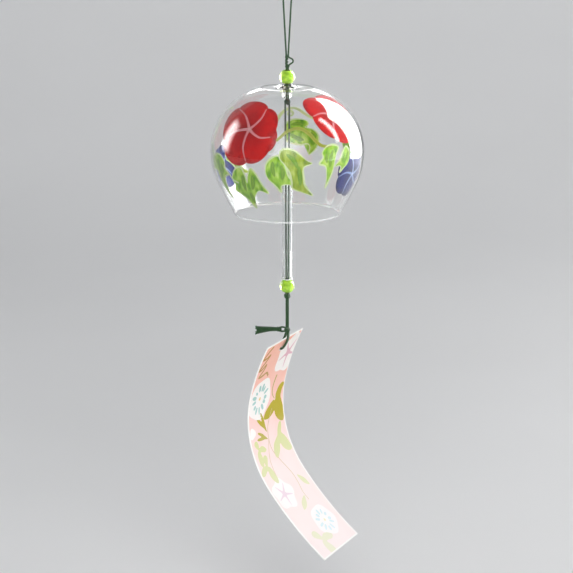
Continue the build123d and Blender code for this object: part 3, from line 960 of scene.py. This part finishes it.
SPEAR_LEAF = (
    [(-0.22, 0.86), (0.3, 0.98), (0.8, 0.78), (0.56, 0.3), (0.42, -0.2), (0.28, -0.8), (0.1, -1.3),
     (-0.14, -2.0), (-0.16, -1.4), (-0.22, -0.8), (-0.34, -0.42), (-0.78, -0.22), (-0.5, 0.14), (-0.54, 0.5)],
    [((0.3, 0.6), (0.1, 0.1), (0.02, -0.5)), ((-0.2, 0.4), (-0.25, 0.1), (-0.2, -0.2))])

# depths on the glass of a leaf's body, shading and edge: a plain leaf, and one that lies over another
UNDER = ((0.06, 0.12), (0.03, 0.15), (0.045, 0.135))
OVER = ((0.03, 0.14), (0.01, 0.17), (0.015, 0.155))


def painted_leaf(name, put, shape, scale, turn, green=leaf_green, squash=1.0, mirror=False, layers=UNDER):
    fit = (turn, scale, squash, mirror)
    body, shade, edge = layers
    outline = smooth_line(turned_points(shape[0], *fit), 6, closed=True)
    patch(name, put, outline, (0, 0), body, green, "globe", uv=lambda p: (0.5 + p[0] / 20, 0.5 + p[1] / 20))
    for k, line in enumerate(shape[1]):
        ribbon(f"{name}_shade_{k + 1}", put, smooth_line(turned_points(line, *fit), 8),
               lambda t: scale * (0.024 + 0.2 * math.sin(math.pi * (0.08 + 0.84 * t))), shade, leaf_dark,
               "globe")
    rim = [q * 0.985 for q in outline]
    ribbon(f"{name}_edge", put, [*rim, rim[0]], lambda t: 0.8 * (0.85 + 0.35 * math.sin(17 * t)), edge,
           leaf_edge, "globe")


# name, azimuth, height, shape, scale, turn in degrees, and what differs from a plain leaf
PAINTED_LEAVES = (
    ("front_left", -32.0, -110.0, CLEFT_LEAF, 10.0, 0.0, {}),
    ("middle_left", -5.0, -102.6, ROUND_LEAF, 9.4, -4.0, {}),
    ("middle_right", 7.0, -101.5, HOOK_LEAF, 10.2, 0.0, {"green": leaf_olive, "layers": OVER}),
    ("front_right", 33.0, -97.0, SPEAR_LEAF, 7.6, 0.0, {}),
    ("right_small", 46.5, -97.0, ROUND_LEAF, 6.6, -14.0, {"squash": 0.8, "mirror": True, "layers": OVER}),
    ("left_upper", -77.0, -99.5, ROUND_LEAF, 9.0, 6.0, {}),
    ("left_lower", -60.5, -104.5, SPEAR_LEAF, 8.4, 6.0, {"mirror": True, "layers": OVER}),
    ("back_middle", 169.5, -96.8, CURL_LEAF, 9.9, 0.0, {"mirror": True}),
    ("back_right", 118.0, -101.0, CLEFT_LEAF, 8.6, 10.0, {"mirror": True}),
    ("back_left", -131.0, -108.0, HOOK_LEAF, 7.0, -20.0,
     {"green": leaf_olive, "mirror": True, "layers": OVER}),
)
for name, azimuth, height, shape, scale, turn, change in PAINTED_LEAVES:
    painted_leaf(f"leaf_{name}", wall_place(azimuth, height), shape, scale, turn, **change)


def painted_stroke(name, width, material, places):
    """A brushed line through places given as azimuth in degrees and height."""
    turn, height = places[0]
    start = float(np.interp(height, wall_z, wall_run))
    line = [(math.radians(a - turn) * float(np.interp(z, wall_z, wall_r)),
             float(np.interp(z, wall_z, wall_run)) - start) for a, z in places]
    ribbon(name, wall_place(turn, height), smooth_line(line, 8), width, (0.05, 0.13), material, "globe")


def spiral(turn, height, radius, start, turns):
    """Places on a curl that closes in about one point of the wall; the radius is in mm."""
    reach = float(np.interp(height, wall_z, wall_r))
    out = []
    for t in np.linspace(0, 1, 20):
        a = math.radians(start) + 2 * math.pi * turns * t
        r = radius * (1 - 0.75 * t)
        out.append((turn + math.degrees(r * math.cos(a) / reach), height + r * math.sin(a)))
    return out


# name, width, paint, and places as azimuth in degrees and height
PAINTED_STROKES = (
    ("vine_front", swelling(1.2, 0.6), tendril_olive, [
        (-8.5, -87.0), (-4.9, -84.9), (-1.0, -82.9), (3.2, -81.8), (7.4, -81.2), (12.5, -81.7),
        (18.0, -84.0), (22.4, -87.4), (26.4, -89.6), (31.0, -90.4), (36.0, -90.0)]),
    ("tendril_back", taper(2.1, 1.7), tendril_pale, [
        (188.6, -87.0), (185.4, -83.2), (180.5, -80.3), (174.6, -79.4), (169.3, -80.4), (164.7, -82.8),
        (160.2, -84.6), (157.0, -85.4)]),
    ("tendril_back_curl", taper(1.5, 1.1), tendril_pale, [
        (180.3, -80.4), *spiral(177.6, -83.0, 1.9, 100, 1.1)]),
    ("stem_left", taper(1.5, 1.1), tendril_pale, [
        (-70.0, -74.6), (-80.6, -76.4), (-88.0, -80.6), (-92.0, -86.0), (-92.0, -92.0)]),
    ("stem_left_low", steady(0.8), tendril_pale, [
        (-50.5, -105.0), (-48.0, -107.2), (-45.0, -108.8), (-41.0, -109.6)]),
    ("stem_right", taper(1.2, 0.9), tendril_olive, [
        (72.0, -92.0), (80.0, -90.5), (88.0, -92.5), (98.0, -94.5), (108.0, -93.5)]),
    ("stem_back_left", taper(1.2, 0.9), tendril_olive, [
        (-139.0, -84.0), (-134.0, -90.0), (-130.5, -97.0), (-130.0, -103.0)]),
    ("curl_back_left", taper(1.2, 0.7), tendril_pale, [
        (-128.0, -97.0), (-124.0, -92.0), *spiral(-119.0, -89.0, 3.0, 200, -1.2)]),
    ("curl_back_right", taper(1.2, 0.7), tendril_pale, [
        (126.0, -94.0), (130.0, -90.0), *spiral(136.0, -88.0, 3.2, 190, -1.2)]),
)
for stroke in PAINTED_STROKES:
    painted_stroke(*stroke)


# the card strip

HOLE_BOX = 4.0  # half the side of the square round the hole, where the grid gives way to a ring
RING_STEPS = 3


def card_uv(p):
    return ((p[0] + HALF_W) / STRIP_WIDTH, p[1] / STRIP_LENGTH)


def card_sheet():
    """The card as one closed mesh: a grid with a round punched hole near its top edge."""
    inner_lines = [-HOLE_BOX / 2, 0.0, HOLE_BOX / 2]
    columns = [*np.linspace(-HALF_W, -HOLE_BOX, 11), *inner_lines, *np.linspace(HOLE_BOX, HALF_W, 11)]
    rows = [0.0, 1.2, PUNCH_S - HOLE_BOX, *(PUNCH_S + d for d in inner_lines),
            *np.linspace(PUNCH_S + HOLE_BOX, STRIP_LENGTH, 82)]
    flat, index = [], {}

    def vertex(u, s):
        key = (round(float(u), 4), round(float(s), 4))
        if key not in index:
            index[key] = len(flat)
            flat.append(key)
        return index[key]

    cells = []
    for u0, u1 in zip(columns, columns[1:]):
        for s0, s1 in zip(rows, rows[1:]):
            if abs(u0 + u1) / 2 > HOLE_BOX or abs((s0 + s1) / 2 - PUNCH_S) > HOLE_BOX:
                cells.append((vertex(u0, s0), vertex(u1, s0), vertex(u1, s1), vertex(u0, s1)))
    box = HOLE_BOX
    side = (-box, *inner_lines)
    square = [(v, -box) for v in side] + [(box, v) for v in side] + [(-v, box) for v in side]
    square += [(-box, -v) for v in side]
    spokes = []
    for u, s in square:
        a = math.atan2(s, u)
        du, ds = PUNCH_R * math.cos(a) - u, PUNCH_R * math.sin(a) - s
        shares = [t / RING_STEPS for t in range(RING_STEPS + 1)]
        spokes.append([vertex(u + du * t, PUNCH_S + s + ds * t) for t in shares])
    for here, after in zip(spokes, spokes[1:] + spokes[:1]):
        cells += [(here[t], after[t], after[t + 1], here[t + 1]) for t in range(RING_STEPS)]

    size = len(flat)
    points = [card_put(u, s, reach) for reach in (HALF_T, -HALF_T) for u, s in flat]
    tags = [card_uv(p) for p in flat]
    faces, uvs, open_edges = [], [], {}
    for cell in cells:
        faces += [cell, tuple(size + f for f in cell[::-1])]
        uvs += [[tags[f] for f in cell], [tags[f] for f in cell[::-1]]]
        for a, b in zip(cell, cell[1:] + cell[:1]):
            if open_edges.pop((b, a), None) is None:
                open_edges[(a, b)] = True
    for a, b in open_edges:
        faces.append((b, a, size + a, size + b))
        uvs.append([(0.0, tags[b][1]), (0.0, tags[a][1]), (0.004, tags[a][1]), (0.004, tags[b][1])])
    return points, faces, uvs


mesh_piece("paper_card", *card_sheet(), card, "strip", slot="card", replaces=("paper_strip",), sharp=40)


# print on the card, the same on both faces

INK_FOOT = -0.02  # ink starts just inside the card


def inside_border(p):
    edge = BORDER + 0.05
    return np.array((min(max(p[0], edge - HALF_W), HALF_W - edge), min(max(p[1], edge), STRIP_LENGTH - edge)))


def on_card(face):
    return lambda x, y, depth: card_put(x, y, face * (HALF_T + depth))


def card_patch(name, face, points, centre, ink, height, rings):
    outline = [(x + centre[0], y + centre[1]) for x, y in points][::face]
    patch(name, on_card(face), outline, centre, (INK_FOOT, height), ink, "strip", rings=rings,
          limit=inside_border, uv=card_uv)


def card_stroke(name, face, points, width, ink, height=0.016):
    ribbon(name, on_card(face), smooth_line(points, 6)[::face], width, (INK_FOOT, height), ink, "strip",
           limit=inside_border, uv=card_uv)


def print_ray(name, face, centre, a, radii, width, ink):
    """A stroke that runs out from a flower's centre at one angle."""
    points = [(centre[0] + math.cos(a) * r, centre[1] + math.sin(a) * r) for r in radii]
    card_stroke(name, face, points, width, ink, 0.02)


def print_round_flower(name, face, centre, radius, dashes):
    card_patch(f"{name}_face", face, blot(radius, 0.045, 5, 0.6), centre, ink_white, 0.012, 8)
    rng = random.Random(len(name))
    for k in range(dashes):
        a = 2 * math.pi * (k + 0.3 * rng.random()) / dashes
        start, end = 0.34 + 0.08 * rng.random(), 0.62 + 0.16 * rng.random()
        wide = radius * (0.10 + 0.06 * rng.random())
        print_ray(f"{name}_dash_{k + 1:02d}", face, centre, a,
                  [radius * t for t in (start, (start + end) / 2, end)],
                  lambda t: wide * (0.35 + 0.9 * math.sin(math.pi * (0.15 + 0.75 * t))), ink_teal)
    card_patch(f"{name}_heart", face, blot(radius * 0.09, 0.1, 3, 0.0, 16), centre, ink_yellow, 0.022, 2)


def print_star_flower(name, face, centre, radius):
    card_patch(f"{name}_face", face, blot(radius, 0.1, 5, 1.9), centre, ink_white, 0.012, 8)
    card_patch(f"{name}_throat", face, blot(radius * 0.2, 0.16, 5, 1.9, 30), centre, ink_rose, 0.018, 3)
    for k in range(5):
        print_ray(f"{name}_vein_{k + 1}", face, centre, math.radians(20 + 72 * k),
                  [radius * t for t in (0.0, 0.3, 0.55, 0.8)], taper(radius * 0.1955, radius * 0.034),
                  ink_rose)


# Print leaves in units of their scale: each outline turns once about its middle.
TREFOIL = [
    (0, 0.3), (0.12, 0.75), (0.42, 1.1), (0.35, 1.45), (0.0, 1.6), (-0.4, 1.35), (-0.44, 0.85), (-0.3, 0.4),
    (-0.8, 0.3), (-1.25, -0.1), (-1.5, -0.75), (-0.95, -0.8), (-0.45, -0.4), (-0.08, -0.25), (0.05, -0.9),
    (0.45, -1.5), (1.0, -1.8), (1.25, -1.3), (1.05, -0.6), (0.7, 0.0), (0.35, 0.25)]
CURL = [
    (-0.6, -2.4), (-0.2, -6.0), (2.0, -9.6), (5.2, -10.8), (7.0, -9.2), (5.4, -6.4), (4.6, -3.0), (5.6, 0.2),
    (6.9, 4.0), (7.2, 8.4), (5.6, 11.6), (2.2, 10.2), (-0.6, 6.6), (-1.4, 3.6), (-3.6, 4.8), (-7.6, 6.0),
    (-11.6, 4.6), (-9.4, 1.2), (-5.6, -1.4), (-2.6, -2.8)]
WING = [
    (-0.8, -2.2), (0.4, -5.0), (2.6, -8.0), (4.6, -8.2), (4.4, -5.4), (3.2, -2.4), (5.4, 0.2), (7.2, 4.0),
    (8.0, 8.4), (4.6, 8.8), (1.2, 6.0), (-0.4, 2.8), (-2.6, 6.0), (-6.6, 9.0), (-8.0, 6.0), (-6.2, 1.6),
    (-3.0, -0.8)]
FORK = [
    (0, -1.1), (0.16, -0.5), (0.42, 0.1), (0.62, 0.9), (0.42, 0.95), (0.12, 0.35), (0.0, 0.3), (-0.1, 0.95),
    (-0.3, 0.9), (-0.34, 0.1), (-0.2, -0.5)]
BLADE = [(0, 1.0), (0.3, 0.5), (0.36, 0.0), (0.22, -0.6), (0.0, -1.0), (-0.22, -0.6), (-0.36, 0.0),
         (-0.3, 0.5)]

# name, place across and down the card, scale, turn in degrees, ink, shape, width, mirrored
PRINT_LEAVES = (
    ("leaf_upper", (10.8, 44.0), 1.0, 0.0, ink_leaf, CURL, 1.2, False),
    ("leaf_side", (9.4, 63.5), 1.0, 0.0, ink_pale, WING, 1.15, False),
    ("leaf_left_1", (-13.0, 64.0), 4.2, 160.0, ink_pale, TREFOIL, 1.0, False),
    ("leaf_left_2", (-11.5, 74.5), 4.8, 195.0, ink_pale, TREFOIL, 1.0, True),
    ("leaf_foot", (-7.5, 123.5), 5.6, 150.0, ink_pale, TREFOIL, 1.0, False),
    ("bud_1", (-4.6, 50.4), 6.2, 152.0, ink_leaf, FORK, 1.0, False),
    ("bud_2", (-6.8, 57.6), 5.0, 118.0, ink_leaf, FORK, 1.0, False),
    ("bud_3", (12.6, 90.0), 4.8, -32.0, ink_pale, BLADE, 1.0, False),
    ("bud_4", (0.5, 100.5), 5.2, 52.0, ink_pale, BLADE, 1.0, False),
)
PRINT_LINES = (
    ("scroll", steady(1.35), ink_line, [
        (-11.5, 1.8), (-15.5, 5.2), (-18.0, 8.6), (-14.0, 8.6), (-11.0, 7.6), (-14.0, 11.5), (-18.2, 15.2),
        (-15.5, 15.6), (-11.5, 13.6), (-12.4, 16.6), (-16.0, 20.2), (-12.0, 20.4), (-7.5, 19.8),
        (-4.6, 22.6)]),
    ("stem_top", taper(1.3, 0.5), ink_gold, [
        (7.4, 25.8), (6.2, 29.5), (5.6, 33.0), (6.2, 37.0), (9.2, 40.6)]),
    ("vine_1", steady(0.5), ink_line, [
        (6.6, 45.5), (3.0, 50.0), (0.2, 54.5), (-1.0, 60.5), (-0.8, 66.5), (2.2, 72.5), (5.4, 78.5)]),
    ("vine_2", steady(0.55), ink_line, [
        (5.4, 78.5), (7.2, 84.0), (7.0, 89.5), (5.6, 95.5), (6.0, 100.5)]),
    ("vine_3", steady(0.45), ink_line, [(-1.0, 60.5), (-4.2, 66.5), (-6.4, 72.0), (-7.4, 80.0)]),
)

for face, word in ((1, "front"), (-1, "back")):
    start = f"print_{word}_"
    print_star_flower(start + "flower_top", face, (12.6, 13.4), 11.8)
    print_round_flower(start + "flower_upper", face, (-8.4, 35.4), 11.8, 13)
    print_star_flower(start + "flower_middle", face, (-10.0, 90.5), 8.8)
    print_round_flower(start + "flower_low", face, (5.6, 114.5), 9.4, 11)
    for name, place, scale, turn, ink, shape, wide, mirror in PRINT_LEAVES:
        outline = smooth_line(turned_points(shape, turn, scale, wide, mirror), 5, closed=True)
        card_patch(start + name, face, outline, place, ink, 0.014, 5)
    card_patch(start + "bud_white", face, blot(3.0, 0.12, 3, 1.0), (-16.2, 53.0), ink_white, 0.013, 3)
    for name, width, ink, points in PRINT_LINES:
        card_stroke(start + name, face, points, width, ink)


# room and lamps, in metres

def studio_sweep():
    """A pale floor that bends up into a back wall."""
    floor_z, bend_y, bend_radius, half_wide = -0.36, 0.9, 0.9, 2.6
    section = [(-2.6, floor_z), *arc(bend_y, floor_z + bend_radius, bend_radius, -90, 0, 15), (1.8, 2.4)]
    mesh = bpy.data.meshes.new("studio_sweep")
    points = [(x, y, z) for y, z in section for x in (-half_wide, half_wide)]
    mesh.from_pydata(points, [], [(k, k + 1, k + 3, k + 2) for k in range(0, len(points) - 2, 2)])
    mesh.polygons.foreach_set("use_smooth", [True] * len(mesh.polygons))
    material, tree, shader, place = surface("studio_pale", "Object")
    mottling = noise(tree, place, EVEN, 3.0, 2.0)
    dress(tree, shader, ramp(tree, mottling, (0.3, (0.86, 0.86, 0.855)), (0.7, (0.89, 0.89, 0.885))), 0.9)
    mesh.materials.append(material)
    sweep = bpy.data.objects.new("studio_sweep", mesh)
    scene.collection.objects.link(sweep)


def soft_rim(lamp, edge, width, height):
    """The lamp's light fades in from its rim over the given part of its width."""
    lamp.use_nodes = True
    tree = lamp.node_tree
    parts = split(tree, node(tree, "NewGeometry", {}, "Parametric"))
    fades = []
    for axis, share in (("X", edge), ("Y", edge * width / height)):
        from_rim = calculate(tree, "PINGPONG", parts[axis], 0.5)
        fades.append(node(tree, "MapRange", {"From Max": share, "Value": from_rim}, "Result",
                          interpolation_type="SMOOTHSTEP"))
    feed(tree, own_node(tree, "EMISSION").inputs["Strength"], calculate(tree, "MULTIPLY", *fades))


def softbox(name, azimuth, elevation, distance, width, height, power, role, edge):
    """role says what the box does: "light" lights the bell, "shine" is only mirrored in its glass."""
    data = bpy.data.lights.new(name, "AREA")
    data.shape = "RECTANGLE"
    data.size, data.size_y = width, height
    data.energy = power
    soft_rim(data, edge, width, height)
    lamp = bpy.data.objects.new(name, data)
    scene.collection.objects.link(lamp)
    a, e = math.radians(azimuth), math.radians(elevation)
    away = Vector((math.sin(a) * math.cos(e), -math.cos(a) * math.cos(e), math.sin(e)))
    lamp.location = Vector((0, 0, -0.1)) + away * distance
    lamp.rotation_euler = away.to_track_quat("Z", "Y").to_euler()
    lamp.visible_camera = False
    lamp.visible_glossy = role == "shine"
    lamp.visible_diffuse = role == "light"


studio_sweep()
world = bpy.data.worlds.new("studio_world")
world.use_nodes = True
backing = own_node(world.node_tree, "BACKGROUND")
backing.inputs["Color"].default_value = (0.9, 0.93, 1.0, 1.0)
backing.inputs["Strength"].default_value = 0.25
scene.world = world
softbox("softbox_front", 6, 24, 2.3, 3.0, 3.0, 196.0, "light", 0.5)
softbox("softbox_side", 80, -10, 2.1, 2.4, 2.4, 108.0, "light", 0.5)
softbox("shine_right", 127, 18, 1.2, 0.98, 1.5, 64.0, "shine", 0.06)
softbox("shine_right_strip", 84, 34, 1.2, 0.22, 0.9, 7.0, "shine", 0.4)
softbox("shine_left", -107, 16, 1.2, 0.56, 0.92, 12.0, "shine", 0.4)
softbox("shine_back", 180, 22, 1.5, 0.8, 0.22, 4.5, "shine", 0.1)

scene.view_settings.view_transform = "Standard"
